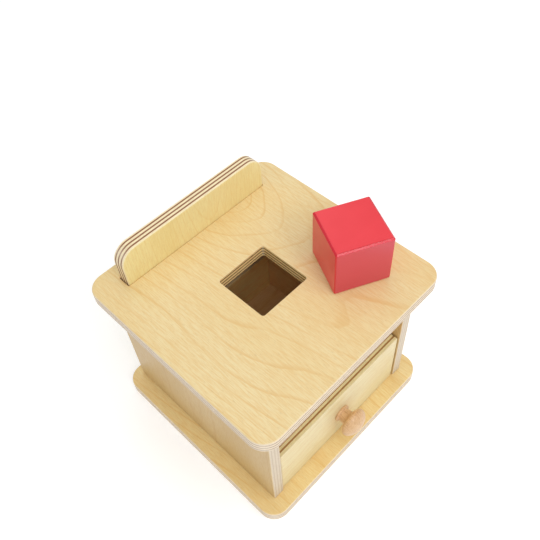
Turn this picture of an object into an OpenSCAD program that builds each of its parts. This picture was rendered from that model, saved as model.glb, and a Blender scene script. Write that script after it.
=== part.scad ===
// Object permanence box: a plywood box with a square hole in its top plate, a
// drawer under the hole, and a loose cube that drops through the hole into it.
// Millimetres. Seen from the drawer, X points right, Y to the back and Z up.
// The origin is the middle of the base plate's underside.

/* [Plates] */
// Width of the top and base plates, left to right
plate_w = 150; // [144:1:220]
// Depth of the top and base plates, front to back
plate_d = 150; // [140:1:220]
// Thickness of the plates, back wall, front panel and drawer front
board_t = 9; // [8:0.5:12]
// Radius of the plates' upright corners
plate_corner_r = 11.5; // [3:0.5:30]
// Chamfer that eases the edges of the thick boards
edge_ease = 0.8; // [0.2:0.1:1.2]
// Width of the square hole in the top plate
hole_w = 37; // [36.5:0.5:44]
// Radius in the corners of the square hole
hole_corner_r = 1.8; // [1:0.1:4]

/* [Walls] */
// Height of the side walls between the plates
wall_h = 101; // [85:1:160]
// Thickness of the side walls
wall_t = 8; // [7:0.5:12]
// How far the plates stand out past the side walls
side_overhang = 11; // [4:0.5:13]
// How far the plates stand out past the front ends of the side walls
front_overhang = 10; // [4:0.5:14]
// How far the plates stand out past the back ends of the side walls
back_overhang = 6.5; // [3:0.5:10]
// How far the back wall sits in from the back ends of the side walls
back_wall_inset = 4; // [1:0.5:8]
// Height of the rail that the back wall forms above the top plate
rail_h = 25.5; // [15:0.5:50]
// Radius of the rail's upper corners
rail_corner_r = 11; // [3:0.5:14]
// Gap round the back wall in its slot through the top plate
slot_gap = 0.4; // [0.1:0.1:0.8]

/* [Drawer] */
// How far the drawer front stands above the drawer's sides
drawer_front_rise = 2.5; // [1.5:0.5:14]
// How far the drawer front's face sits behind the side walls' front ends
drawer_set_back = 1; // [0:0.5:4]
// Gap between the drawer and each side wall
drawer_gap = 0.7; // [0.3:0.1:1.5]
// Gap under the drawer, over the base plate
drawer_lift = 0.5; // [0.2:0.1:1]
// Gap behind the closed drawer, in front of the back wall
drawer_end_gap = 0.5; // [0.3:0.1:3]
// Thickness of the drawer's sides and back
drawer_side_t = 5; // [4:0.5:8]
// Height of the drawer's sides and back
drawer_side_h = 46; // [40:0.5:46.5]
// Thickness of the drawer's bottom
drawer_bottom_t = 4; // [3:0.5:6]
// Height of the bottom's groove above the drawer's lower edge
groove_rise = 6.5; // [3:0.5:8]
// Depth of the grooves that hold the bottom
groove_depth = 2; // [1:0.5:3]
// Depth of the housings in the drawer front that hold the sides
housing_depth = 3; // [2:0.5:5]

/* [Front panel] */
// Gap between the drawer's sides and the fixed panel above them
panel_gap = 0.7; // [0.3:0.1:3]
// Gap between the closed drawer front and the fixed panel behind it
stop_gap = 0.2; // [0.1:0.1:1]

/* [Knob] */
// Diameter of the knob's head
knob_head_d = 20; // [16:0.5:30]
// Length of the knob out of the drawer front
knob_l = 16; // [14:0.5:24]
// Diameter of the knob's foot
knob_foot_d = 12; // [10:0.5:18]
// Thickness of the knob's foot
knob_foot_t = 1.6; // [1:0.2:3]
// Diameter of the knob's neck
knob_neck_d = 9; // [7:0.5:14]

/* [Cube] */
// Width of the cube
cube_w = 35; // [25:0.5:36]
// Radius of the cube's rounded edges
cube_edge_r = 1; // [0.5:0.1:4]
// Place of the cube's middle to the right of the hole's middle
cube_x = 42.8; // [-50:0.1:50]
// Place of the cube's middle behind the hole's middle
cube_y = -30.5; // [-50:0.1:28]
// Turn of the cube about its upright axis, in degrees
cube_turn = -27; // [-45:1:45]

/* [Fixings] */
// Diameter of the wooden dowels
dowel_d = 5; // [4:0.5:6]
// Length of the wooden dowels
dowel_l = 20; // [16:1:30]
// Depth of the dowels in the side walls
side_dowel_depth = 5; // [4:0.5:6]
// Depth of the dowels in the top plate
top_dowel_depth = 6; // [4:0.5:6]
// Diameter of the countersunk screws under the base plate
screw_d = 3; // [2.5:0.5:4]
// Length of the countersunk screws
screw_l = 25; // [20:1:35]
// Diameter of the countersunk heads
screw_head_d = 6; // [5.5:0.5:8]
// Diameter of the knob's screw
knob_screw_d = 3.5; // [3:0.5:4]
// Length of the knob's screw under its head
knob_screw_l = 18; // [14:1:20]
// Diameter of the knob screw's head
knob_screw_head_d = 7; // [6:0.5:9]
// Height of the knob screw's head
knob_screw_head_h = 2.2; // [1.6:0.2:3]
// Diameter of the drawer's steel pins
pin_d = 1.2; // [1:0.1:1.6]
// Length of the drawer's steel pins
pin_l = 18; // [14:1:25]

/* [Hidden] */
$fn = 48;

// How far a cut runs past the face that it opens
overrun = 1;
// Sides of the circles that hull() joins
hull_sides = 32;
// Radial clearance of dowels, screws and pins in their holes
hole_gap = 0.05;
// Clearance past the ends of dowels, screws and pins
end_gap = 0.4;
// Clearance of a glued edge in its groove
glue_gap = 0.1;
// How far a countersunk head lies below the base plate's underside
head_sink = 0.3;
// Height of the straight rim of a countersunk head
head_rim = 0.4;
// Width and depth of the arms of a cross recess
recess_w = 0.7;
recess_depth = 1.4;
// Chamfer on the ends of a dowel
dowel_chamfer = 0.6;
// Chamfer that eases the edges of the drawer's thin boards
thin_ease = 0.4;

// Outer faces, inner faces and ends of the side walls
body_w = plate_w - 2 * side_overhang;
inner_w = body_w - 2 * wall_t;
wall_front_y = front_overhang - plate_d / 2;
wall_back_y = plate_d / 2 - back_overhang;
wall_l = wall_back_y - wall_front_y;
wall_mid_x = (body_w - wall_t) / 2;
top_z = board_t + wall_h;

// Back wall, whose upper end is the rail
back_face_y = wall_back_y - back_wall_inset;
back_front_y = back_face_y - board_t;
back_h = wall_h + board_t + rail_h;

// Drawer
drawer_face_y = wall_front_y + drawer_set_back;
drawer_inner_y = drawer_face_y + board_t;
drawer_end_y = back_front_y - drawer_end_gap;
drawer_w = inner_w - 2 * drawer_gap;
drawer_inner_w = drawer_w - 2 * drawer_side_t;
drawer_z = board_t + drawer_lift;
drawer_front_h = drawer_side_h + drawer_front_rise;
side_front_y = drawer_inner_y - housing_depth;
groove_z = drawer_z + groove_rise;

// Fixed panel over the drawer
panel_z = drawer_z + drawer_side_h + panel_gap;
panel_h = top_z - panel_z;
panel_front_y = drawer_inner_y + stop_gap;

// Knob, in the middle of the drawer front
knob_z = drawer_z + drawer_front_h / 2;
knob_neck_l = 0.3 * knob_l;
knob_under_h = 0.2 * knob_l;
knob_dome_h = knob_l - knob_foot_t - knob_neck_l;
// Angle under the head's widest ring where its underside starts, and step of its curves
knob_under_angle = 60;
knob_arc_step = 10;

// Places along a board, as shares of its length from the front, the foot or the middle
top_dowel_shares = [0.2, 0.8];
back_dowel_shares = [0.3, 0.7];
panel_dowel_shares = [0.25, 0.75];
side_screw_shares = [0.12, 0.84];
back_screw_shares = [-0.27, 0.27];
pin_shares = [0.5, 0.85];

plate_colour = [0.93, 0.83, 0.62];
wall_colour = [0.88, 0.76, 0.56];
panel_colour = [0.90, 0.79, 0.53];
drawer_colour = [0.92, 0.86, 0.73];
thin_ply_colour = [0.82, 0.69, 0.49];
dowel_colour = [0.80, 0.62, 0.42];
steel_colour = [0.72, 0.72, 0.74];
cube_colour = [0.90, 0.26, 0.28];

// Flat rectangle about the origin with four round corners
module rounded_rectangle(w, d, r, sides) {
    square([w - 2 * r, d], center = true);
    square([w, d - 2 * r], center = true);
    for (x = [-1, 1], y = [-1, 1])
        translate([x * (w / 2 - r), y * (d / 2 - r)]) circle(r, $fn = sides);
}

// Board from its lowest corner, with a chamfer along every edge
module eased_board(size, ease) {
    hull() {
        translate([0, ease, ease]) cube([size.x, size.y - 2 * ease, size.z - 2 * ease]);
        translate([ease, 0, ease]) cube([size.x - 2 * ease, size.y, size.z - 2 * ease]);
        translate([ease, ease, 0]) cube([size.x - 2 * ease, size.y - 2 * ease, size.z]);
    }
}

// Plate lying on the origin, its corners rounded and its rims eased
module round_plate() {
    hull() {
        translate([0, 0, edge_ease]) linear_extrude(board_t - 2 * edge_ease)
            rounded_rectangle(plate_w, plate_d, plate_corner_r, hull_sides);
        linear_extrude(board_t)
            rounded_rectangle(plate_w - 2 * edge_ease, plate_d - 2 * edge_ease,
                plate_corner_r - edge_ease, hull_sides);
    }
}

// Outline of the back wall, upright on the origin, with the rail's round corners on top
module back_outline(inset) {
    r = rail_corner_r - inset;
    translate([inset - inner_w / 2, inset])
        square([inner_w - 2 * inset, back_h - rail_corner_r - inset]);
    for (side = [-1, 1])
        translate([side * (inner_w / 2 - rail_corner_r), back_h - rail_corner_r])
            circle(r, $fn = hull_sides);
}

// Dowel from the origin along Z
module dowel() {
    r = dowel_d / 2;
    rotate_extrude()
        polygon([[0, 0], [r - dowel_chamfer, 0], [r, dowel_chamfer], [r, dowel_l - dowel_chamfer],
            [r - dowel_chamfer, dowel_l], [0, dowel_l]]);
}

module dowel_hole() {
    translate([0, 0, -end_gap]) cylinder(r = dowel_d / 2 + hole_gap, h = dowel_l + 2 * end_gap);
}

// Half outline of a countersunk screw, its head on the origin, made larger by a gap
function screw_outline(gap) = let (
    head_r = screw_head_d / 2 + gap,
    shank_r = screw_d / 2 + gap,
    neck = head_rim + head_r - shank_r)
    [[0, 0], [head_r, 0], [head_r, head_rim], [shank_r, neck], [shank_r, screw_l - screw_d + gap],
        [0, screw_l + gap]];

// Two crossed slots in a screw's head, cut from the origin upwards
module cross_recess(arm) {
    for (turn = [0, 90])
        rotate([0, 0, turn]) translate([-arm / 2, -recess_w / 2, -overrun])
            cube([arm, recess_w, recess_depth + overrun]);
}

// Countersunk screw from the origin along Z
module base_screw() {
    difference() {
        rotate_extrude() polygon(screw_outline(0));
        cross_recess(screw_head_d / 2);
    }
}

module screw_hole() {
    rotate_extrude() polygon(screw_outline(hole_gap));
    translate([0, 0, -head_sink - overrun])
        cylinder(r = screw_head_d / 2 + hole_gap, h = head_sink + overrun + head_rim);
}

// The dowels that tie the side walls to the top plate, pointing down
module at_top_dowels() {
    for (side = [-1, 1], share = top_dowel_shares)
        translate([side * wall_mid_x, wall_front_y + share * wall_l, top_z + top_dowel_depth])
            rotate([180, 0, 0]) children();
}

// The dowels in the back wall's ends, pointing from each side wall to the middle
module at_back_dowels() {
    for (side = [-1, 1], share = back_dowel_shares)
        translate([side * (inner_w / 2 + side_dowel_depth), back_face_y - board_t / 2,
            board_t + share * wall_h])
            rotate([0, -90 * side, 0]) children();
}

// The dowels in the front panel's ends
module at_panel_dowels() {
    for (side = [-1, 1], share = panel_dowel_shares)
        translate([side * (inner_w / 2 + side_dowel_depth), panel_front_y + board_t / 2,
            panel_z + share * panel_h])
            rotate([0, -90 * side, 0]) children();
}

// The screws up through the base plate, into the side walls and the back wall
module at_base_screws() {
    for (side = [-1, 1], share = side_screw_shares)
        translate([side * wall_mid_x, wall_front_y + share * wall_l, head_sink]) children();
    for (share = back_screw_shares)
        translate([share * inner_w, back_face_y - board_t / 2, head_sink]) children();
}

// The pins through the drawer's sides into the ends of its back
module at_drawer_pins() {
    for (side = [-1, 1], share = pin_shares)
        translate([side * drawer_w / 2, drawer_end_y - drawer_side_t / 2,
            drawer_z + share * drawer_side_h])
            rotate([0, -90 * side, 0]) children();
}

module base_plate() {
    color(plate_colour) difference() {
        round_plate();
        at_base_screws() screw_hole();
    }
}

module top_plate() {
    slot_w = inner_w + 2 * slot_gap;
    slot_d = board_t + 2 * slot_gap;
    color(plate_colour) difference() {
        translate([0, 0, top_z]) round_plate();
        translate([0, 0, top_z - overrun]) linear_extrude(board_t + 2 * overrun)
            rounded_rectangle(hole_w, hole_w, hole_corner_r, $fn);
        translate([-slot_w / 2, back_front_y - slot_gap, top_z - overrun])
            cube([slot_w, slot_d, board_t + 2 * overrun]);
        at_top_dowels() dowel_hole();
    }
}

// One side wall; side is -1 on the left and 1 on the right
module side_wall(side) {
    difference() {
        translate([side * wall_mid_x - wall_t / 2, wall_front_y, board_t])
            eased_board([wall_t, wall_l, wall_h], edge_ease);
        at_top_dowels() dowel_hole();
        at_back_dowels() dowel_hole();
        at_panel_dowels() dowel_hole();
        at_base_screws() screw_hole();
    }
}

module left_wall() {
    color(wall_colour) side_wall(-1);
}

module right_wall() {
    color(wall_colour) side_wall(1);
}

module back_wall() {
    color(panel_colour) difference() {
        translate([0, back_face_y, board_t]) rotate([90, 0, 0]) hull() {
            translate([0, 0, edge_ease]) linear_extrude(board_t - 2 * edge_ease) back_outline(0);
            linear_extrude(board_t) back_outline(edge_ease);
        }
        at_back_dowels() dowel_hole();
        at_base_screws() screw_hole();
    }
}

module front_panel() {
    color(panel_colour) difference() {
        translate([-inner_w / 2, panel_front_y, panel_z])
            eased_board([inner_w, board_t, panel_h], edge_ease);
        at_panel_dowels() dowel_hole();
    }
}

module base_screws() {
    color(steel_colour) at_base_screws() base_screw();
}

module back_wall_dowels() {
    color(dowel_colour) at_back_dowels() dowel();
}

module front_panel_dowels() {
    color(dowel_colour) at_panel_dowels() dowel();
}

module top_dowels() {
    color(dowel_colour) at_top_dowels() dowel();
}

// The front has a housing for each side, a groove for the bottom and a hole for the knob's screw
module drawer_front() {
    housing_w = drawer_side_t + glue_gap;
    color(drawer_colour) difference() {
        translate([-drawer_w / 2, drawer_face_y, drawer_z])
            eased_board([drawer_w, board_t, drawer_front_h], edge_ease);
        for (side = [-1, 1])
            translate([side * (drawer_w - housing_w + overrun) / 2 - (housing_w + overrun) / 2,
                side_front_y, drawer_z - overrun])
                cube([housing_w + overrun, housing_depth + overrun,
                    drawer_side_h + glue_gap + overrun]);
        translate([-drawer_w / 2, side_front_y, groove_z])
            cube([drawer_w, housing_depth + overrun, drawer_bottom_t + glue_gap]);
        translate([0, drawer_face_y - overrun, knob_z]) rotate([-90, 0, 0])
            cylinder(r = knob_screw_d / 2 + glue_gap, h = board_t + 2 * overrun);
    }
}

// One side of the drawer, grooved for the bottom
module drawer_side(side) {
    length = drawer_end_y - side_front_y;
    inner_x = side * drawer_inner_w / 2;
    difference() {
        translate([side * (drawer_w - drawer_side_t) / 2 - drawer_side_t / 2, side_front_y, drawer_z])
            eased_board([drawer_side_t, length, drawer_side_h], thin_ease);
        translate([inner_x - groove_depth, side_front_y - overrun, groove_z])
            cube([2 * groove_depth, length - drawer_side_t + groove_depth + overrun,
                drawer_bottom_t + glue_gap]);
        at_drawer_pins() pin_hole();
    }
}

module drawer_left_side() {
    color(thin_ply_colour) drawer_side(-1);
}

module drawer_right_side() {
    color(thin_ply_colour) drawer_side(1);
}

module drawer_back() {
    color(thin_ply_colour) difference() {
        translate([-drawer_inner_w / 2, drawer_end_y - drawer_side_t, drawer_z])
            eased_board([drawer_inner_w, drawer_side_t, drawer_side_h], thin_ease);
        translate([-inner_w / 2, drawer_end_y - drawer_side_t - overrun, groove_z])
            cube([inner_w, groove_depth + overrun, drawer_bottom_t + glue_gap]);
        at_drawer_pins() pin_hole();
    }
}

module drawer_bottom() {
    width = drawer_inner_w + 2 * (groove_depth - glue_gap);
    front_y = side_front_y + glue_gap;
    back_y = drawer_end_y - drawer_side_t + groove_depth - glue_gap;
    color(thin_ply_colour) translate([-width / 2, front_y, groove_z])
        cube([width, back_y - front_y, drawer_bottom_t]);
}

// Headless steel pin from the origin along Z
module pin_hole() {
    translate([0, 0, -overrun]) cylinder(r = pin_d / 2 + hole_gap, h = pin_l + end_gap + overrun);
}

module drawer_pins() {
    color(steel_colour) at_drawer_pins() cylinder(r = pin_d / 2, h = pin_l);
}

// Half outline of the turned knob: foot, neck, then a head with a flat underside curve and a dome
function knob_outline() = let (
    head_r = knob_head_d / 2,
    neck_r = knob_neck_d / 2,
    head_z = knob_foot_t + knob_neck_l)
    concat([[0, 0], [knob_foot_d / 2, 0], [knob_foot_d / 2, knob_foot_t], [neck_r, knob_foot_t]],
        [for (a = [-knob_under_angle : knob_arc_step : 0])
            [max(neck_r, head_r * cos(a)),
                head_z + knob_under_h * (1 + sin(a) / sin(knob_under_angle))]],
        [for (a = [knob_arc_step : knob_arc_step : 90 - knob_arc_step])
            [head_r * cos(a), head_z + knob_under_h + (knob_dome_h - knob_under_h) * sin(a)]],
        [[0, knob_l]]);

module drawer_knob() {
    color(dowel_colour) translate([0, drawer_face_y, knob_z]) rotate([90, 0, 0]) difference() {
        rotate_extrude() polygon(knob_outline());
        translate([0, 0, -overrun])
            cylinder(r = knob_screw_d / 2 + hole_gap, h = knob_screw_l - board_t + end_gap + overrun);
    }
}

// The knob's screw, its round head on the inside of the drawer front
module knob_screw() {
    color(steel_colour) translate([0, drawer_inner_y, knob_z]) rotate([90, 0, 0]) difference() {
        union() {
            translate([0, 0, -knob_screw_head_h]) cylinder(d = knob_screw_head_d, h = knob_screw_head_h);
            cylinder(d = knob_screw_d, h = knob_screw_l);
        }
        translate([0, 0, -knob_screw_head_h]) cross_recess(knob_screw_head_d / 2);
    }
}

// Square of the cube's width with four round corners, drawn out to a bar along Z
module cube_bar() {
    translate([0, 0, -cube_w / 2]) linear_extrude(cube_w)
        rounded_rectangle(cube_w, cube_w, cube_edge_r, $fn);
}

// The cube is what three such bars have in common, so all its edges are round
module red_cube() {
    color(cube_colour) translate([cube_x, cube_y, top_z + board_t + cube_w / 2])
        rotate([0, 0, cube_turn]) intersection() {
            cube_bar();
            rotate([90, 0, 0]) cube_bar();
            rotate([0, 90, 0]) cube_bar();
        }
}

base_plate();
left_wall();
right_wall();
back_wall();
front_panel();
top_plate();
base_screws();
back_wall_dowels();
front_panel_dowels();
top_dowels();
drawer_front();
drawer_left_side();
drawer_right_side();
drawer_back();
drawer_bottom();
drawer_pins();
drawer_knob();
knob_screw();
red_cube();
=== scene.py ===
import math

import bpy
import numpy as np
from mathutils import Euler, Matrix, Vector
from mathutils.geometry import tessellate_polygon


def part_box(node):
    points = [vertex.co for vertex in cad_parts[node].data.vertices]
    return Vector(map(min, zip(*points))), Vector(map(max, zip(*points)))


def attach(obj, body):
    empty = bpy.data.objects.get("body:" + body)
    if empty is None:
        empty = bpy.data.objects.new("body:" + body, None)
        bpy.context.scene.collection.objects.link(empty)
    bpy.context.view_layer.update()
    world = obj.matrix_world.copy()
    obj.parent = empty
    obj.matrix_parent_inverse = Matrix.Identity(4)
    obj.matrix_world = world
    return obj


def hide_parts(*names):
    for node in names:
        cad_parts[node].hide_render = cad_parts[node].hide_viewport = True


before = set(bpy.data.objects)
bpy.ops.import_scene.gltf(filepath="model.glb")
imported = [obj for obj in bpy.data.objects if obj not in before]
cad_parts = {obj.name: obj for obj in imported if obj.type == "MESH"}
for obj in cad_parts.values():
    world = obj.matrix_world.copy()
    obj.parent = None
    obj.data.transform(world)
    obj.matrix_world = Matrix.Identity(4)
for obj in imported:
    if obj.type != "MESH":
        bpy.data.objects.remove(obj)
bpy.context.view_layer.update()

# The base plate is birch plywood of seven plies, sawn square and given round corners.
# Its edges are sanded round and the whole of it is sealed with a clear satin lacquer.
# Six countersunk screws go up through it into the walls.

X, Y, Z = 0, 1, 2
CORNER_STEPS = 10
ARRIS_STEPS = 4
POCKET_STEPS = 32
BOARD_ARRIS = 0.0008
SAWN_CORNER = 0.0010
PLATE_CORNER = 0.0115


def round_corners(half, radii):
    """Round corners of a rectangle about the origin, anticlockwise from the +u side.

    A point is its corner's centre plus the radius times (cos a, sin a), and a turns a quarter
    in each of the four corners. Returns the centres, the unit vectors and the radii.
    """
    quarter = np.linspace(0, np.pi / 2, CORNER_STEPS + 1)
    angle = (quarter + np.arange(4)[:, None] * np.pi / 2).ravel()
    sign = np.repeat([[1, 1], [-1, 1], [-1, -1], [1, -1]], CORNER_STEPS + 1, axis=0)
    radius = np.repeat(radii, CORNER_STEPS + 1)[:, None]
    return sign * (np.array(half) - radius), np.stack([np.cos(angle), np.sin(angle)], 1), radius


def arris_profile(bevel):
    """The profile of a board's edge from its low face to its high face, for an arris of 1.

    It is a quarter circle, the straight edge, and a second quarter circle. A bevel makes that
    share of each arris flat at 45 degrees, between two eighths of a circle. Returns each
    point's angle above the straight edge, the end that it is at, -1 or 1, how far it lies in
    from the edge, and how far it lies past the straight part.
    """
    quarter = np.linspace(0, np.pi / 2, ARRIS_STEPS + 1)
    if bevel:
        quarter = np.insert(quarter, ARRIS_STEPS // 2, np.pi / 4)
    slid = bevel * (np.arange(len(quarter)) > ARRIS_STEPS // 2)
    rise = np.concatenate([-quarter[::-1], quarter])[:, None, None]
    slid = np.concatenate([-slid[::-1], slid])[:, None, None]
    side = np.repeat([-1.0, 1.0], len(quarter))[:, None, None]
    inset = (1 - bevel) * (1 - np.cos(rise)) + np.abs(slid)
    climb = (1 - bevel) * np.sin(rise) + slid
    return rise, side, inset, climb


def pocket_rings(place, steps, face_level):
    """Rings of a round hole sunk into a low face, one for each (radius, depth) of its steps.

    A point is the place plus the radius times (cos t, sin t), at its depth above the face. The
    first ring's normals are the face's, and the others lean into the hole.
    """
    turn = np.linspace(0, 2 * np.pi, POCKET_STEPS, endpoint=False)
    way = np.stack([np.cos(turn), np.sin(turn)], 1)
    down = np.full((POCKET_STEPS, 1), -1.0)
    points = [np.concatenate([np.array(place) + radius * way, np.full_like(down, face_level + depth)], 1)
              for radius, depth in steps]
    normals = [np.concatenate([-way * np.sign(depth), down], 1) for radius, depth in steps]
    return np.concatenate(points), np.concatenate(normals)


def grid_faces(rows, columns, start, outward):
    """Quads of a grid of points whose rows close on themselves, wound to face outwards."""
    i, j = np.meshgrid(np.arange(rows - 1), np.arange(columns), indexing="ij")
    after = (j + 1) % columns
    quads = np.stack([i * columns + j, i * columns + after,
                      (i + 1) * columns + after, (i + 1) * columns + j], -1).reshape(-1, 4)
    return ((quads if outward else quads[:, ::-1]) + start).tolist()


def close_face(points, rims, facing):
    """Triangles that fill a flat face between its rims, looking up for 1 or down for -1."""
    loops = [np.pad(points[rim, :2], ((0, 0), (0, 1))).tolist() for rim in rims]
    triangles = np.concatenate(rims)[np.array(tessellate_polygon(loops))]
    p, q, r = points[triangles, :2].transpose(1, 2, 0)
    area = (q[0] - p[0]) * (r[1] - p[1]) - (q[1] - p[1]) * (r[0] - p[0])
    turned = area * facing <= 0
    triangles[turned] = triangles[turned][:, [0, 2, 1]]
    return triangles.tolist()


def new_object(name, data):
    """An object that holds this mesh, lamp or camera, linked to the scene."""
    made = bpy.data.objects.new(name, data)
    bpy.context.scene.collection.objects.link(made)
    return made


def smooth_piece(name, points, normals, faces, arris, inner):
    """A mesh object with these points and faces, shaded by the given normals.

    The attribute named arris is 0 on flat faces and rises to 1 in the middle of a rounded edge.
    The one named inner is 1 on the walls of a hole or slot.
    """
    mesh = bpy.data.meshes.new(name)
    mesh.from_pydata(points.tolist(), [], faces)
    mesh.polygons.foreach_set("use_smooth", np.ones(len(mesh.polygons), bool))
    for label, values in (("arris", arris), ("inner", inner)):
        layer = mesh.attributes.new(label, "FLOAT", "POINT")
        layer.data.foreach_set("value", values.astype(np.float32))
    mesh.normals_split_custom_set_from_vertices(normals.tolist())
    mesh.update()
    return new_object(name, mesh)


def sanded_board(name, low, high, flat, radii, arris=BOARD_ARRIS, cuts=(), pockets=(), spin=0.0,
                 bevel=0.0):
    """A board between two corners of a box, thin along the axis numbered flat.

    The profile of its edge is carried round its outline, and the two faces close the rims. A
    cut is (middle, half sizes, corner radii, arris) and goes through with the same profile
    turned inwards. A pocket is (middle, steps), sunk into the low face. A bevel is the flat
    share of each arris. The finished board is turned by spin about its own middle, in the plane
    of its faces.
    """
    low, high = np.array(low), np.array(high)
    u, v = (flat + 1) % 3, (flat + 2) % 3
    middle, half = (low + high) / 2, (high - low) / 2
    rise, side, inset, climb = arris_profile(bevel)
    points, normals, inner, faces, low_rims, high_rims, start = [], [], [], [], [], [], 0
    outer = ((0, 0), half[[u, v]], radii, arris)
    for outward, (place, size, corner, bite) in [(1, outer)] + [(-1, cut) for cut in cuts]:
        centre, way, radius = round_corners(size, corner)
        spot = np.array(place) + centre + (radius - outward * bite * inset) * way
        rows, columns = spot.shape[:2]
        shape = (rows, columns, 1)
        level = side * (half[flat] - bite) + bite * climb
        points.append(np.concatenate([spot, np.broadcast_to(level, shape)], 2).reshape(-1, 3))
        turned = np.concatenate([outward * np.cos(rise) * way[None],
                                 np.broadcast_to(np.sin(rise), shape)], 2)
        normals.append(turned.reshape(-1, 3))
        inner.append(np.full(rows * columns, outward < 0))
        faces += grid_faces(rows, columns, start, outward > 0)
        low_rims.append(np.arange(columns) + start)
        high_rims.append(np.arange(columns) + start + (rows - 1) * columns)
        start += rows * columns
    for place, steps in pockets:
        spots, turned = pocket_rings(place, steps, -half[flat])
        points.append(spots)
        normals.append(turned)
        inner.append(np.full(len(spots), False))
        rim = np.arange(POCKET_STEPS) + start
        faces += grid_faces(len(steps), POCKET_STEPS, start, False)
        faces.append((rim + (len(steps) - 1) * POCKET_STEPS).tolist()[::-1])
        low_rims.append(rim)
        start += len(spots)
    points, normals = np.concatenate(points), np.concatenate(normals)
    faces += close_face(points, low_rims, -1) + close_face(points, high_rims, 1)
    normals /= np.linalg.norm(normals, axis=1)[:, None]
    rounding = (1 - np.abs(normals).max(1)) / (1 - math.sqrt(0.5))
    cosine, sine = math.cos(spin), math.sin(spin)
    turn = np.array([[cosine, sine, 0], [-sine, cosine, 0], [0, 0, 1]])
    placed, turned = np.empty_like(points), np.empty_like(normals)
    placed[:, [u, v, flat]] = points @ turn
    turned[:, [u, v, flat]] = normals @ turn
    return smooth_piece(name, placed + middle, turned, faces, np.clip(rounding, 0, 1),
                        np.concatenate(inner))


def srgb(red, green, blue):
    """A screen colour from 0 to 255 as the linear colour that a shader takes."""
    screen = np.array([red, green, blue]) / 255
    linear = np.where(screen <= 0.04045, screen / 12.92, ((screen + 0.055) / 1.055) ** 2.4)
    return (*linear, 1.0)


def plain_material(name):
    """A new material, its node tree and its main shader."""
    material = bpy.data.materials.new(name)
    material.use_nodes = True
    return material, material.node_tree, material.node_tree.nodes["Principled BSDF"]


def shade(tree, kind, inputs=None, **settings):
    """Adds a shader node. Each input takes a plain value, or the output that feeds it."""
    made = tree.nodes.new("ShaderNode" + kind)
    for key, value in settings.items():
        setattr(made, key, value)
    for socket, value in (inputs or {}).items():
        if isinstance(value, bpy.types.NodeSocket):
            tree.links.new(value, made.inputs[socket])
        else:
            made.inputs[socket].default_value = value
    return made


def sum_up(tree, operation, *values):
    """The result of a Math node on these values."""
    return shade(tree, "Math", dict(enumerate(values)), operation=operation).outputs[0]


def spread(tree, value, old_range, new_range, smooth=False):
    """Maps a value from one range to another and stops at the ends."""
    inputs = {"Value": value, "From Min": old_range[0], "From Max": old_range[1],
              "To Min": new_range[0], "To Max": new_range[1]}
    kind = "SMOOTHSTEP" if smooth else "LINEAR"
    return shade(tree, "MapRange", inputs, interpolation_type=kind).outputs["Result"]


def blend_colours(tree, share, first, second):
    """The first colour with a share of the second mixed in."""
    return shade(tree, "Mix", {0: share, 6: first, 7: second}, data_type="RGBA").outputs[2]


def painted(tree, label):
    """The value that the piece's mesh holds under this label."""
    return shade(tree, "Attribute", attribute_name=label).outputs["Fac"]


def emboss(tree, surface, height, strength, distance=0.0002):
    """Shades the surface as if it stood out by the height times the distance."""
    bump = shade(tree, "Bump", {"Strength": strength, "Distance": distance, "Height": height})
    tree.links.new(bump.outputs[0], surface.inputs["Normal"])


def clear_coat(surface, weight, rough):
    """Lays a thin clear lacquer over the surface."""
    surface.inputs["Coat Weight"].default_value = weight
    surface.inputs["Coat Roughness"].default_value = rough


SEED_STEPS = (7.3, 3.1, 5.7)


def grain_noise(tree, place, grain, size, seed, detail=2.0, twist=0.0):
    """Noise drawn out along the grain. Its size is (across, along) the grain, in metres."""
    across, along = size
    stretch = [1 / across] * 3
    stretch[grain] = 1 / along
    moved = shade(tree, "Mapping", {"Vector": place, "Location": [seed * step for step in SEED_STEPS],
                                    "Scale": stretch})
    inputs = {"Vector": moved.outputs[0], "Scale": 1.0, "Detail": detail, "Roughness": 0.5,
              "Distortion": twist}
    return shade(tree, "TexNoise", inputs).outputs[0]


SWAY_SIZE, YEAR_SWAY = (0.045, 0.170), 4.0
WOBBLE_SIZE, YEAR_WOBBLE = (0.0040, 0.012), 0.12
LINE_FADE = (0.80, 0.97)
LINE_STOP = (0.975, 1.0)
LINE_SHARE = 0.72
PATCH_SIZE, PATCH_RANGE = (0.014, 0.050), (0.36, 0.62)
PATCH_LEAST_SHARE = 0.35


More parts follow.
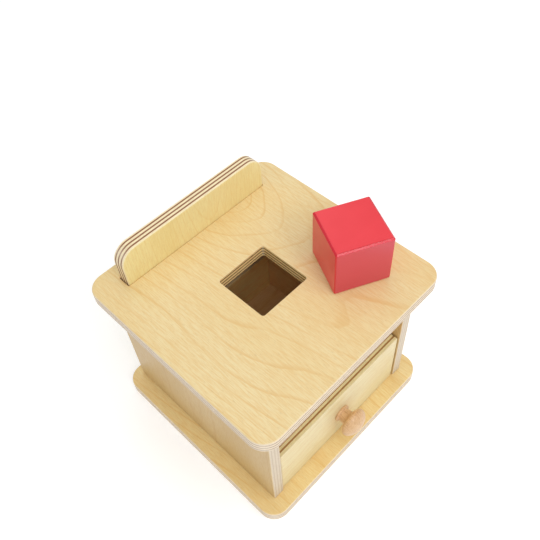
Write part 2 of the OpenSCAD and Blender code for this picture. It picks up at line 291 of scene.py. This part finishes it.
def growth_lines(tree, place, axes, flat, grain, seed, heart):
    """How much a growth line of the veneer shows.

    The lines are nested U shapes about the heart. A line's number is sqrt(a a + opening g) over
    the width of a year, with a the distance across the grain and g the distance along it, plus
    smooth noises. A line fades in, stops sharply and is weaker in patches. heart is (place
    across, place along, opening, width of a year).
    """
    heart_across, heart_along, opening, year = heart
    off = sum_up(tree, "SUBTRACT", axes[3 - flat - grain], heart_across)
    below = sum_up(tree, "MAXIMUM", sum_up(tree, "SUBTRACT", heart_along, axes[grain]), 0.0)
    squared = sum_up(tree, "MULTIPLY_ADD", below, opening, sum_up(tree, "MULTIPLY", off, off))
    years = sum_up(tree, "DIVIDE", sum_up(tree, "SQRT", squared), year)
    sway = grain_noise(tree, place, grain, SWAY_SIZE, seed, detail=1.0)
    wobble = grain_noise(tree, place, grain, WOBBLE_SIZE, seed + 8.0, detail=1.0)
    years = sum_up(tree, "MULTIPLY_ADD", sway, YEAR_SWAY, years)
    years = sum_up(tree, "MULTIPLY_ADD", wobble, YEAR_WOBBLE, years)
    ring = sum_up(tree, "FRACT", years)
    line = sum_up(tree, "MULTIPLY", spread(tree, ring, LINE_FADE, (0.0, LINE_SHARE), True),
                  spread(tree, ring, LINE_STOP, (1.0, 0.0)))
    patchy = grain_noise(tree, place, grain, PATCH_SIZE, seed + 1.0, detail=1.0)
    return sum_up(tree, "MULTIPLY", line, spread(tree, patchy, PATCH_RANGE, (PATCH_LEAST_SHARE, 1.0)))


FIBRE_SIZE, FIBRE_RANGE, FIBRE_SHARE = (0.0005, 0.0070), (0.38, 0.64), 0.55
FLECK_SIZE, FLECK_RANGE, FLECK_SHARE = (0.0004, 0.0022), (0.60, 0.74), 0.12
TONE_SIZE, TONE_RANGE = (0.030, 0.110), (0.36, 0.66)


def birch_veneer(tree, place, axes, flat, grain, face, pore, seed, heart):
    """The colour of a rotary-cut birch face, and its fibres.

    face is (ground, line, warm): the ground turns warm in long soft areas, and its growth lines
    and fibres have the line's colour. Pores are short dark flecks.
    """
    ground, veneer_line, warm = face
    line = growth_lines(tree, place, axes, flat, grain, seed, heart)
    fibre = grain_noise(tree, place, grain, FIBRE_SIZE, seed + 2.0, detail=3.0)
    fleck = grain_noise(tree, place, grain, FLECK_SIZE, seed + 3.0, detail=1.0)
    tone = grain_noise(tree, place, grain, TONE_SIZE, seed + 4.0)
    colour = blend_colours(tree, spread(tree, tone, TONE_RANGE, (0.0, 1.0), True), ground, warm)
    colour = blend_colours(tree, line, colour, veneer_line)
    fibre_share = spread(tree, fibre, FIBRE_RANGE, (0.0, FIBRE_SHARE))
    colour = blend_colours(tree, fibre_share, colour, veneer_line)
    fleck_share = spread(tree, fleck, FLECK_RANGE, (0.0, FLECK_SHARE))
    return blend_colours(tree, fleck_share, colour, pore), fibre


WAVER_SIZE, WAVER_RANGE, PLY_WAVER = (0.0040, 0.0012), (0.40, 0.70), 0.22
PLY_BLUR = 0.09
PORE_SIZE, PORE_RANGE = (0.0006, 0.0011), (0.42, 0.72)
STAIN_SHARE = 0.16
GLUE_RANGE = (0.20, 0.40)
# Ply colours for the walls of holes and slots: painted light on the light plies, painted shade on the dark
# lines.
LIT_HOLE_PLY, SHADED_HOLE_GLUE = srgb(255, 224, 156), srgb(104, 60, 28)


def sawn_plies(tree, place, axes, low, high, flat, plies, edge, seed, contrast, dark_share):
    """The colour of a sawn edge, and how dark its plies are.

    The thickness from low to high is cut into equal plies. The outer ones are light and every
    second one is dark. Below low and above high the outer plies go on, light as long as the
    dark share and the blur come to no more than a half. edge is (light ply, dark ply, pore).
    On the walls of a hole the light plies are painted paler and warmer, as painted light falling in
    and warm painted shade, and the dark ones are thin lines in a deeper painted shade.
    """
    light_ply, dark_ply, pore = edge
    depth = spread(tree, axes[flat], (low, high), (0.0, plies))
    from_dark = sum_up(tree, "PINGPONG", sum_up(tree, "ADD", depth, 0.5), 1.0)
    waver = grain_noise(tree, place, flat, WAVER_SIZE, seed + 6.0)
    from_dark = sum_up(tree, "MULTIPLY_ADD", sum_up(tree, "SUBTRACT", waver, 0.5), PLY_WAVER, from_dark)
    blurred = (dark_share - PLY_BLUR, dark_share + PLY_BLUR)
    dark = spread(tree, from_dark, blurred, (contrast, 0.0), True)
    ends = blend_colours(tree, dark, light_ply, dark_ply)
    open_pores = grain_noise(tree, place, flat, PORE_SIZE, seed + 5.0)
    ends = blend_colours(tree, spread(tree, open_pores, PORE_RANGE, (0.0, STAIN_SHARE)), ends, pore)
    ends = blend_colours(tree, spread(tree, waver, WAVER_RANGE, (0.0, STAIN_SHARE)), ends, dark_ply)
    glue = spread(tree, from_dark, GLUE_RANGE, (1.0, 0.0), True)
    hole_light_and_shade = blend_colours(tree, glue, LIT_HOLE_PLY, SHADED_HOLE_GLUE)
    return blend_colours(tree, painted(tree, "inner"), ends, hole_light_and_shade), dark


PLIES = 7
FACE_RANGE = (0.35, 0.80)
SANDED, SANDED_SHARE = srgb(246, 234, 212), 0.35
FIBRE_ROUGH_RANGE, FIBRE_SMOOTHER, FIBRE_ROUGHER = (0.30, 0.70), 0.05, 0.07
EDGE_ROUGHER = 0.10
PLY_GROOVE = -0.4
PLYWOOD_BUMP = 0.20
SATIN_WEIGHT, SATIN_ROUGH = 0.12, 0.25


def birch_plywood(name, low, high, flat, grain, face, edge, seed, heart, plies=PLIES, contrast=0.5,
                  rough=0.42, dark_share=0.37):
    """Lacquered birch plywood, laid out in the board's own thickness from low to high.

    Whether a point is face or edge is told by its normal. Sanded edges are paler, sawn ones
    duller, and the dark plies lie a little deeper.
    """
    material, tree, surface = plain_material(name)
    outputs = shade(tree, "TexCoord").outputs
    place = outputs["Object"]
    axes = shade(tree, "SeparateXYZ", {0: place}).outputs
    facing = shade(tree, "SeparateXYZ", {0: outputs["Normal"]}).outputs[flat]
    on_face = spread(tree, sum_up(tree, "ABSOLUTE", facing), FACE_RANGE, (0.0, 1.0), True)
    on_edge = sum_up(tree, "SUBTRACT", 1.0, on_face)

    veneer, fibre = birch_veneer(tree, place, axes, flat, grain, face, edge[2], seed, heart)
    ends, dark = sawn_plies(tree, place, axes, low, high, flat, plies, edge, seed, contrast, dark_share)
    colour = blend_colours(tree, on_face, ends, veneer)
    sanded_share = sum_up(tree, "MULTIPLY", painted(tree, "arris"), SANDED_SHARE)
    tree.links.new(blend_colours(tree, sanded_share, colour, SANDED), surface.inputs["Base Color"])

    fibre_rough = spread(tree, fibre, FIBRE_ROUGH_RANGE, (rough - FIBRE_SMOOTHER, rough + FIBRE_ROUGHER))
    all_rough = sum_up(tree, "MULTIPLY_ADD", on_edge, EDGE_ROUGHER, fibre_rough)
    tree.links.new(all_rough, surface.inputs["Roughness"])
    grooves = sum_up(tree, "MULTIPLY", dark, on_edge)
    emboss(tree, surface, sum_up(tree, "MULTIPLY_ADD", grooves, PLY_GROOVE, fibre), PLYWOOD_BUMP)
    clear_coat(surface, SATIN_WEIGHT, SATIN_ROUGH)
    return material


def finish_piece(piece, material, body, node):
    """Gives a new piece its material, lets it ride on its body and stand for its CAD node."""
    piece.data.materials.append(material)
    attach(piece, body)
    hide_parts(node)


PLATE_EDGE = (srgb(238, 222, 196), srgb(158, 124, 92), srgb(140, 100, 70))
PLATE_CONTRAST = 0.8
BASE_FACE = (srgb(243, 221, 162), srgb(229, 189, 115), srgb(235, 203, 138))
BASE_HEART = (-0.020, 0.090, 0.012, 0.0075)
COUNTERSINK = [(0.00305, 0.0), (0.00301, 0.00004), (0.00301, 0.0007), (0.00155, 0.0022)]
SIDE_SCREW_SHARES = (0.12, 0.84)
BACK_SCREW_SHARE = 0.27
base_low, base_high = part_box("base_plate")
left_low, left_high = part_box("left_wall")
right_low, right_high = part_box("right_wall")
back_low, back_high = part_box("back_wall")
wall_length = left_high.y - left_low.y
wall_middles = ((left_low.x + left_high.x) / 2, (right_low.x + right_high.x) / 2)
screw_places = [(x, left_low.y + share * wall_length) for x in wall_middles for share in SIDE_SCREW_SHARES]
screw_places += [(side * BACK_SCREW_SHARE * (right_low.x - left_high.x), (back_low.y + back_high.y) / 2)
                 for side in (-1, 1)]
base_plate = sanded_board("base_plate_board", base_low, base_high, Z, [PLATE_CORNER] * 4,
                          pockets=[(place, COUNTERSINK) for place in screw_places])
base_ply = birch_plywood("base_plate_ply", base_low.z, base_high.z, Z, Y, BASE_FACE, PLATE_EDGE,
                         seed=11.0, heart=BASE_HEART, contrast=PLATE_CONTRAST)
finish_piece(base_plate, base_ply, "box", "base_plate")

# The side walls are two open-ended boards of the same plywood, glued and screwed between the
# plates. Their grain stands upright and their front ends show the plies.

# The walls' colours are darker than the plates', partly their own tone and partly painted shade on the
# upright sides.
SHADED_WALL_FACE = (srgb(214, 185, 131), srgb(201, 163, 104), srgb(206, 175, 116))
SHADED_WALL_EDGE = (srgb(220, 206, 184), srgb(188, 165, 136), srgb(144, 106, 74))
WALL_HEART = (0.010, 0.260, 0.0012, 0.007)
for wall_node, (wall_low, wall_high), wall_seed in (("left_wall", (left_low, left_high), 21.0),
                                                    ("right_wall", (right_low, right_high), 27.0)):
    wall = sanded_board(wall_node + "_board", wall_low, wall_high, X, [SAWN_CORNER] * 4)
    wall_ply = birch_plywood(wall_node + "_ply", wall_low.x, wall_high.x, X, Z, SHADED_WALL_FACE, SHADED_WALL_EDGE,
                             wall_seed, WALL_HEART)
    finish_piece(wall, wall_ply, "box", wall_node)

# The back wall stands between the side walls and passes up through a slot in the top plate.
# Its upper end is the rail, with two round corners, and its grain stands upright.

RAIL_CORNER = 0.011
# The rail's face colour is paler than the plates', partly its own tone and partly painted light on its lit
# front.
LIT_RAIL_FACE = (srgb(245, 231, 170), srgb(236, 211, 140), srgb(242, 225, 159))
RAIL_EDGE = (srgb(252, 235, 192), srgb(140, 84, 42), srgb(124, 76, 36))
RAIL_HEART = (0.012, 0.200, 0.0030, 0.0035)
back_corners = [RAIL_CORNER, SAWN_CORNER, SAWN_CORNER, RAIL_CORNER]
back_wall = sanded_board("back_wall_board", back_low, back_high, Y, back_corners)
back_ply = birch_plywood("back_wall_ply", back_low.y, back_high.y, Y, Z, LIT_RAIL_FACE, RAIL_EDGE,
                         seed=31.0, heart=RAIL_HEART, contrast=1.0, dark_share=0.40)
finish_piece(back_wall, back_ply, "box", "back_wall")

# The fixed front panel closes the front above the drawer. It is glued and dowelled between
# the side walls, just behind the drawer front.

PANEL_HEART = (0.080, 0.200, 0.004, 0.009)
panel_low, panel_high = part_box("front_panel")
front_panel = sanded_board("front_panel_board", panel_low, panel_high, Y, [SAWN_CORNER] * 4)
# The panel takes the walls' darker colours, with their painted shade.
panel_ply = birch_plywood("front_panel_ply", panel_low.y, panel_high.y, Y, X, SHADED_WALL_FACE, SHADED_WALL_EDGE,
                          seed=37.0, heart=PANEL_HEART)
finish_piece(front_panel, panel_ply, "box", "front_panel")

# The top plate is the twin of the base plate, with a square hole for the cube and a slot for
# the back wall. Its grain runs from the front to the back.

HOLE_HALF = 0.0185
HOLE_CORNER = 0.0018
HOLE_ARRIS = 0.0003
SLOT_GAP = 0.0004
SLOT_SHIFT = -0.0002
SLOT_CORNER = 0.0006
SLOT_ARRIS = 0.0003
TOP_FACE = (srgb(236, 215, 162), srgb(225, 187, 120), srgb(234, 210, 153))
TOP_HEART = (0.035, 0.060, 0.022, 0.0085)
top_low, top_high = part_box("top_plate")
slot_middle = (SLOT_SHIFT, (back_low.y + back_high.y) / 2)
slot_half = ((back_high.x - back_low.x) / 2 + SLOT_GAP, (back_high.y - back_low.y) / 2 + SLOT_GAP)
top_plate = sanded_board("top_plate_board", top_low, top_high, Z, [PLATE_CORNER] * 4,
                         cuts=[((0.0, 0.0), (HOLE_HALF, HOLE_HALF), [HOLE_CORNER] * 4, HOLE_ARRIS),
                               (slot_middle, slot_half, [SLOT_CORNER] * 4, SLOT_ARRIS)])
top_ply = birch_plywood("top_plate_ply", top_low.z, top_high.z, Z, Y, TOP_FACE, PLATE_EDGE,
                        seed=3.0, heart=TOP_HEART, contrast=PLATE_CONTRAST)
finish_piece(top_plate, top_ply, "box", "top_plate")

# The dowels are short beech rods, glued blind into the boards' ends, so they only show when the
# box is taken apart.

BEECH_RING_SIZE, BEECH_TWIST, BEECH_RINGS = (0.0035, 0.060), 0.3, 7.0
BEECH_RAY_SIZE, BEECH_RAY_RANGE = (0.0003, 0.0022), (0.60, 0.72)
BEECH_LINE_RANGE, BEECH_LINE_SHARE, BEECH_RAY_SHARE = (0.05, 0.45), 0.5, 0.45
BEECH_RAY = srgb(150, 98, 58)
BEECH_ROUGH_RANGE, BEECH_SMOOTHER, BEECH_ROUGHER = (0.3, 0.7), 0.04, 0.05
BEECH_BUMP = 0.15
BEECH_COAT_WEIGHT, BEECH_COAT_ROUGH = 0.15, 0.22


def beech(name, grain, seed, ground, dark, rough):
    """Beech with its grain along one axis, which has growth lines and short dark rays.

    The growth lines are the contour lines of a noise that is drawn out along the grain.
    """
    material, tree, surface = plain_material(name)
    place = shade(tree, "TexCoord").outputs["Object"]
    rings = grain_noise(tree, place, grain, BEECH_RING_SIZE, seed, twist=BEECH_TWIST)
    ring = sum_up(tree, "PINGPONG", sum_up(tree, "MULTIPLY", rings, BEECH_RINGS), 0.5)
    line = spread(tree, ring, BEECH_LINE_RANGE, (BEECH_LINE_SHARE, 0.0))
    ray_noise = grain_noise(tree, place, grain, BEECH_RAY_SIZE, seed + 1.0, detail=1.0)
    rays = spread(tree, ray_noise, BEECH_RAY_RANGE, (0.0, 1.0))
    colour = blend_colours(tree, line, ground, dark)
    colour = blend_colours(tree, sum_up(tree, "MULTIPLY", rays, BEECH_RAY_SHARE), colour, BEECH_RAY)
    tree.links.new(colour, surface.inputs["Base Color"])
    emboss(tree, surface, rays, BEECH_BUMP)
    ring_rough = spread(tree, rings, BEECH_ROUGH_RANGE, (rough - BEECH_SMOOTHER, rough + BEECH_ROUGHER))
    tree.links.new(ring_rough, surface.inputs["Roughness"])
    clear_coat(surface, BEECH_COAT_WEIGHT, BEECH_COAT_ROUGH)
    return material


def dress(node, material):
    """Gives a CAD node its material."""
    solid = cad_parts[node]
    solid.data.materials.clear()
    solid.data.materials.append(material)


DOWEL_LIGHT, DOWEL_DARK, DOWEL_ROUGH = srgb(224, 184, 138), srgb(196, 146, 98), 0.6
for dowel_node, dowel_axis in (("back_wall_dowels", X), ("front_panel_dowels", X), ("top_dowels", Z)):
    dowel_beech = beech(dowel_node + "_beech", dowel_axis, 41.0 + dowel_axis, DOWEL_LIGHT, DOWEL_DARK,
                        DOWEL_ROUGH)
    dress(dowel_node, dowel_beech)

# The screws and pins are zinc plated steel. Six screws are driven up through the base plate, and
# one from inside the drawer into the knob. The pins go through the drawer's sides into its back.

ZINC_LIGHT, ZINC_DARK = srgb(206, 208, 212), srgb(166, 168, 170)
CLOUD_SIZE = (0.0016, 0.0016)
SCRATCH_SIZE = (0.00012, 0.0012)
STEEL_RANGE = (0.35, 0.65)
STEEL_ROUGH = (0.24, 0.42)
STEEL_BUMP, SCRATCH_DEPTH = 0.12, 0.0001


def plated_steel(name, seed):
    """Zinc plated steel: a cloudy grey metal with fine scratches."""
    material, tree, surface = plain_material(name)
    place = shade(tree, "TexCoord").outputs["Object"]
    cloud = grain_noise(tree, place, X, CLOUD_SIZE, seed, detail=3.0)
    scratch = grain_noise(tree, place, Y, SCRATCH_SIZE, seed + 1.0)
    colour = blend_colours(tree, spread(tree, cloud, STEEL_RANGE, (0.0, 1.0)), ZINC_LIGHT, ZINC_DARK)
    tree.links.new(colour, surface.inputs["Base Color"])
    tree.links.new(spread(tree, scratch, STEEL_RANGE, STEEL_ROUGH), surface.inputs["Roughness"])
    emboss(tree, surface, scratch, STEEL_BUMP, SCRATCH_DEPTH)
    surface.inputs["Metallic"].default_value = 1.0
    return material


for steel_node, steel_seed in (("base_screws", 51.0), ("drawer_pins", 53.0), ("knob_screw", 57.0)):
    dress(steel_node, plated_steel(steel_node + "_steel", steel_seed))

# The drawer front is a plywood board that closes between the side walls, a little behind
# their front ends. It has five plies, the outer two thicker, and its grain lies level. It
# covers the ends of the drawer's sides, housed in its back, so it is a hair wider and lower.

FRONT_COVER = 0.00005
DRAWER_FACE = (srgb(233, 220, 176), srgb(222, 197, 143), srgb(229, 210, 159))
DRAWER_EDGE = (srgb(231, 221, 174), srgb(158, 116, 64), srgb(130, 92, 50))
DRAWER_PLIES = 5
FRONT_PLY_EXTRA, BACK_PLY_EXTRA = 0.0009, 0.0014
DRAWER_HEART = (0.150, 0.200, 0.002, 0.010)
front_low, front_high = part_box("drawer_front")
cover_low = (front_low.x - FRONT_COVER, front_low.y, front_low.z - FRONT_COVER)
cover_high = (front_high.x + FRONT_COVER, front_high.y, front_high.z)
drawer_front = sanded_board("drawer_front_board", cover_low, cover_high, Y, [SAWN_CORNER] * 4)
drawer_ply = birch_plywood("drawer_front_ply", front_low.y + FRONT_PLY_EXTRA, front_high.y - BACK_PLY_EXTRA,
                           Y, X, DRAWER_FACE, DRAWER_EDGE, seed=61.0, heart=DRAWER_HEART,
                           plies=DRAWER_PLIES, contrast=1.0, dark_share=0.41)
finish_piece(drawer_front, drawer_ply, "drawer", "drawer_front")

# The drawer's sides, back and bottom are thin plywood, sealed but not polished. The sides sit
# in housings in the drawer front, and the bottom lies in grooves all round.

THIN_FACE = (srgb(240, 209, 156), srgb(222, 178, 114), srgb(235, 199, 142))
# The drawer's back has a paler face than its sides and bottom: painted light where light falls in through
# the hole.
LIT_THIN_BACK_FACE = (srgb(255, 236, 170), srgb(250, 206, 126), srgb(255, 227, 156))
THIN_EDGE = (srgb(232, 210, 170), srgb(176, 136, 92), srgb(120, 82, 50))
THIN_HEART = (0.160, 0.220, 0.002, 0.010)
THIN_PLIES = 3
for thin_node, thin_flat, thin_grain, thin_face, thin_seed in (
        ("drawer_left_side", X, Y, THIN_FACE, 71.0), ("drawer_right_side", X, Y, THIN_FACE, 73.0),
        ("drawer_back", Y, X, LIT_THIN_BACK_FACE, 77.0), ("drawer_bottom", Z, X, THIN_FACE, 79.0)):
    thin_low, thin_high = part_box(thin_node)
    thin_ply = birch_plywood(thin_node + "_ply", thin_low[thin_flat], thin_high[thin_flat], thin_flat,
                             thin_grain, thin_face, THIN_EDGE, thin_seed, THIN_HEART, plies=THIN_PLIES,
                             contrast=0.8, rough=0.55)
    dress(thin_node, thin_ply)

# The knob is turned from beech: a thin foot, a waisted neck and a domed head. A screw from the
# inside of the drawer holds it.

KNOB_FOOT, KNOB_FOOT_DEPTH = 0.0060, 0.0016
KNOB_NECK, KNOB_HEAD = 0.0045, 0.0100
KNOB_NECK_SHARE, KNOB_UNDER_SHARE = 0.3, 0.2
KNOB_UNDER_ANGLE = math.radians(60)
KNOB_EASE = 0.0004
KNOB_TIP = 0.00002
KNOB_LIGHT, KNOB_DARK, KNOB_ROUGH = srgb(226, 188, 142), srgb(202, 154, 104), 0.36
UNDER_STEPS, DOME_STEPS, TURN_STEPS = 10, 18, 56


def turned_knob(name, middle, length):
    """The knob's profile turned about its axis.

    The profile is the foot, a straight neck, an underside that is a part of an ellipse from 60
    degrees below the head's widest ring, and a dome that is a quarter of an ellipse. Each point
    is (r cos t, r sin t) at its distance from the drawer front, with t once round.
    """
    under = np.linspace(-KNOB_UNDER_ANGLE, 0, UNDER_STEPS)
    dome = np.linspace(0, np.pi / 2, DOME_STEPS)[1:]
    neck_end = KNOB_FOOT_DEPTH + KNOB_NECK_SHARE * length
    under_height = KNOB_UNDER_SHARE * length
    widest = neck_end + under_height
    foot_radius = [KNOB_FOOT - KNOB_EASE, KNOB_FOOT, KNOB_FOOT, KNOB_FOOT - KNOB_EASE,
                   KNOB_NECK + KNOB_EASE, KNOB_NECK]
    foot_out = [0, KNOB_EASE, KNOB_FOOT_DEPTH - KNOB_EASE, KNOB_FOOT_DEPTH, KNOB_FOOT_DEPTH,
                KNOB_FOOT_DEPTH + KNOB_EASE]
    radius = np.concatenate([foot_radius, KNOB_HEAD * np.cos(under), KNOB_HEAD * np.cos(dome)])
    out = np.concatenate([foot_out,
                          neck_end + under_height * (1 + np.sin(under) / math.sin(KNOB_UNDER_ANGLE)),
                          widest + (length - widest) * np.sin(dome)])
    radius[-1] = KNOB_TIP
    slope = np.stack([np.gradient(out), -np.gradient(radius)], 1)
    slope /= np.linalg.norm(slope, axis=1)[:, None]
    turn = np.linspace(0, 2 * np.pi, TURN_STEPS, endpoint=False)
    way = np.stack([np.cos(turn), np.zeros_like(turn), np.sin(turn)], 1)
    points = radius[:, None, None] * way - out[:, None, None] * np.array([0, 1, 0])
    normals = slope[:, 0, None, None] * way - slope[:, 1, None, None] * np.array([0, 1, 0])
    rows, columns = points.shape[:2]
    faces = grid_faces(rows, columns, 0, True)
    faces.append(list(range(columns))[::-1])
    faces.append(list(range((rows - 1) * columns, rows * columns)))
    plain = np.zeros(rows * columns)
    return smooth_piece(name, points.reshape(-1, 3) + middle, normals.reshape(-1, 3), faces, plain, plain)


knob_low, knob_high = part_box("drawer_knob")
knob_middle = np.array([(knob_low.x + knob_high.x) / 2, knob_high.y, (knob_low.z + knob_high.z) / 2])
knob = turned_knob("turned_knob", knob_middle, knob_high.y - knob_low.y)
knob_beech = beech("knob_beech", Y, 83.0, KNOB_LIGHT, KNOB_DARK, KNOB_ROUGH)
finish_piece(knob, knob_beech, "drawer", "drawer_knob")

# The cube is solid beech, sanded round on all its edges and sprayed with a red gloss lacquer.
# It lies loose on the top plate.

CUBE_WIDTH = 0.035
CUBE_ARRIS = 0.0012
CUBE_BEVEL = 0.60
CUBE_TURN = math.radians(-27)
CUBE_CORNER = 0.0011
RED, RED_DEEPER = srgb(237, 62, 71), srgb(233, 58, 67)
# The faces across the grain get a duller, pinker red: a painted reflection of the pale room.
RED_END_SHEEN, END_GRAIN_RANGE = srgb(212, 70, 83), (0.75, 0.95)
# A deeper red is painted on the rounded edges: painted shade along the cube's outline.
RED_EDGE_SHADE, EDGE_SHADE_SHARE, ARRIS_SMOOTHER = srgb(208, 16, 46), 0.70, -0.08
RED_TONE_SIZE, RED_TONE_RANGE = (0.020, 0.020), (0.30, 0.70)
PEEL_SIZE = (0.0011, 0.0011)
TELEGRAPH_SIZE, TELEGRAPH_SHARE = (0.0006, 0.012), 0.5
RED_ROUGH = (0.29, 0.34)
RED_BUMP = 0.10
RED_COAT_WEIGHT, RED_COAT_ROUGH, RED_SHINE = 0.12, 0.14, 0.42


def red_lacquer(name, grain_way):
    """Red lacquer over wood: a little uneven in tone, and painted a deeper red on the edges as painted
    shade.

    The two faces across the grain are painted duller and pinker, as a painted pale reflection. Its skin has
    a fine orange peel, through which the wood's grain shows faintly.
    """
    material, tree, surface = plain_material(name)
    outputs = shade(tree, "TexCoord").outputs
    place = outputs["Object"]
    tone = grain_noise(tree, place, Z, RED_TONE_SIZE, seed=91.0)
    colour = blend_colours(tree, spread(tree, tone, RED_TONE_RANGE, (0.0, 1.0), True), RED, RED_DEEPER)
    along = shade(tree, "VectorMath", {0: outputs["Normal"], 1: grain_way}, operation="DOT_PRODUCT")
    along = sum_up(tree, "ABSOLUTE", along.outputs["Value"])
    end_sheen_share = spread(tree, along, END_GRAIN_RANGE, (0.0, 1.0), True)
    # The faces across the grain are painted duller and pinker: a painted reflection of the pale room.
    colour = blend_colours(tree, end_sheen_share, colour, RED_END_SHEEN)
    on_arris = painted(tree, "arris")
    # The rounded edges are painted a deeper red: painted shade along the cube's outline.
    colour = blend_colours(tree, sum_up(tree, "MULTIPLY", on_arris, EDGE_SHADE_SHARE), colour, RED_EDGE_SHADE)
    tree.links.new(colour, surface.inputs["Base Color"])
    peel = grain_noise(tree, place, Z, PEEL_SIZE, seed=93.0)
    wood = grain_noise(tree, place, X, TELEGRAPH_SIZE, seed=95.0)
    emboss(tree, surface, sum_up(tree, "MULTIPLY_ADD", wood, TELEGRAPH_SHARE, peel), RED_BUMP)
    rough = spread(tree, tone, RED_TONE_RANGE, RED_ROUGH, True)
    rough = sum_up(tree, "MULTIPLY_ADD", on_arris, ARRIS_SMOOTHER, rough)
    tree.links.new(rough, surface.inputs["Roughness"])
    clear_coat(surface, RED_COAT_WEIGHT, RED_COAT_ROUGH)
    surface.inputs["Specular IOR Level"].default_value = RED_SHINE
    return material


cube_low, cube_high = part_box("red_cube")
cube_middle = np.array((cube_low + cube_high) / 2)
cube = sanded_board("red_cube_block", cube_middle - CUBE_WIDTH / 2, cube_middle + CUBE_WIDTH / 2, Z,
                    [CUBE_CORNER] * 4, arris=CUBE_ARRIS, spin=CUBE_TURN, bevel=CUBE_BEVEL)
cube_grain = (-math.sin(CUBE_TURN), math.cos(CUBE_TURN), 0.0)
finish_piece(cube, red_lacquer("cube_lacquer", cube_grain), "cube", "red_cube")

# The box stands on a plain pale table in a white room, under soft lamps: large ones in front and
# above, a lower one that makes the glint on the cube's edge, and weaker ones behind, at the right
# and over the camera. Light bounces on for long enough to reach the drawer through the hole.

TABLE_REACH = 3.0
PAPER_GREY, PAPER_ROUGH, PAPER_GLOW = 0.93, 0.8, 0.25
ROOM_LIGHT = 0.50
LIGHT_BOUNCES = 12
table = bpy.data.meshes.new("table")
table_corners = [(x * TABLE_REACH, y * TABLE_REACH, 0) for x, y in ((-1, -1), (1, -1), (1, 1), (-1, 1))]
table.from_pydata(table_corners, [], [(0, 1, 2, 3)])
floor = new_object("table", table)
paper, _, paper_surface = plain_material("white_paper")
paper_surface.inputs["Base Color"].default_value = (PAPER_GREY, PAPER_GREY, PAPER_GREY, 1)
paper_surface.inputs["Roughness"].default_value = PAPER_ROUGH
paper_surface.inputs["Emission Color"].default_value = (1, 1, 1, 1)
paper_surface.inputs["Emission Strength"].default_value = PAPER_GLOW
table.materials.append(paper)

room = bpy.data.worlds.new("white_room")
room.use_nodes = True
room.node_tree.nodes["Background"].inputs["Color"].default_value = (1.0, 1.0, 1.0, 1)
room.node_tree.nodes["Background"].inputs["Strength"].default_value = ROOM_LIGHT
bpy.context.scene.world = room
bpy.context.scene.view_settings.view_transform = "Standard"
bpy.context.scene.cycles.diffuse_bounces = LIGHT_BOUNCES

LAMP_AIM = (0, 0, 0.12)
for lamp_name, lamp_place, lamp_size, lamp_power in (
        ("front_lamp", (0.175, -1.053, 1.506), 1.3, 7.2),
        ("low_lamp", (-0.18, -1.27, 1.24), 0.38, 3.2),
        ("right_lamp", (0.789, -1.052, 1.277), 1.0, 0.7),
        ("ceiling_lamp", (0, 0, 1.87), 1.4, 5.8),
        ("back_lamp", (0.526, 0.876, 1.539), 1.0, 2.3),
        ("camera_lamp", (-0.70, -0.80, 1.50), 0.6, 2.9)):
    light = bpy.data.lights.new(lamp_name, "AREA")
    light.shape = "SQUARE"
    light.size = lamp_size
    light.energy = lamp_power
    lamp = new_object(lamp_name, light)
    way = np.array(LAMP_AIM) - np.array(lamp_place)
    lamp.location = lamp_place
    lamp.rotation_euler = (math.acos(-way[2] / np.linalg.norm(way)), 0, math.atan2(-way[0], way[1]))

# The camera looks down on the box from the front left, as in the photograph. Its place, turn
# and lens were worked out from the box's parallel edges.

CAMERA_LENS, CAMERA_SENSOR = 42.63, 36.0
CAMERA_PLACE = (-0.1485, -0.1715, 0.4172)
CAMERA_TURN = (37.96, 2.87, -45.72)
camera = bpy.data.cameras.new("camera")
camera.lens = CAMERA_LENS
camera.sensor_width = CAMERA_SENSOR
viewer = new_object("camera", camera)
viewer.location = CAMERA_PLACE
viewer.rotation_euler = Euler([math.radians(angle) for angle in CAMERA_TURN])
bpy.context.scene.camera = viewer
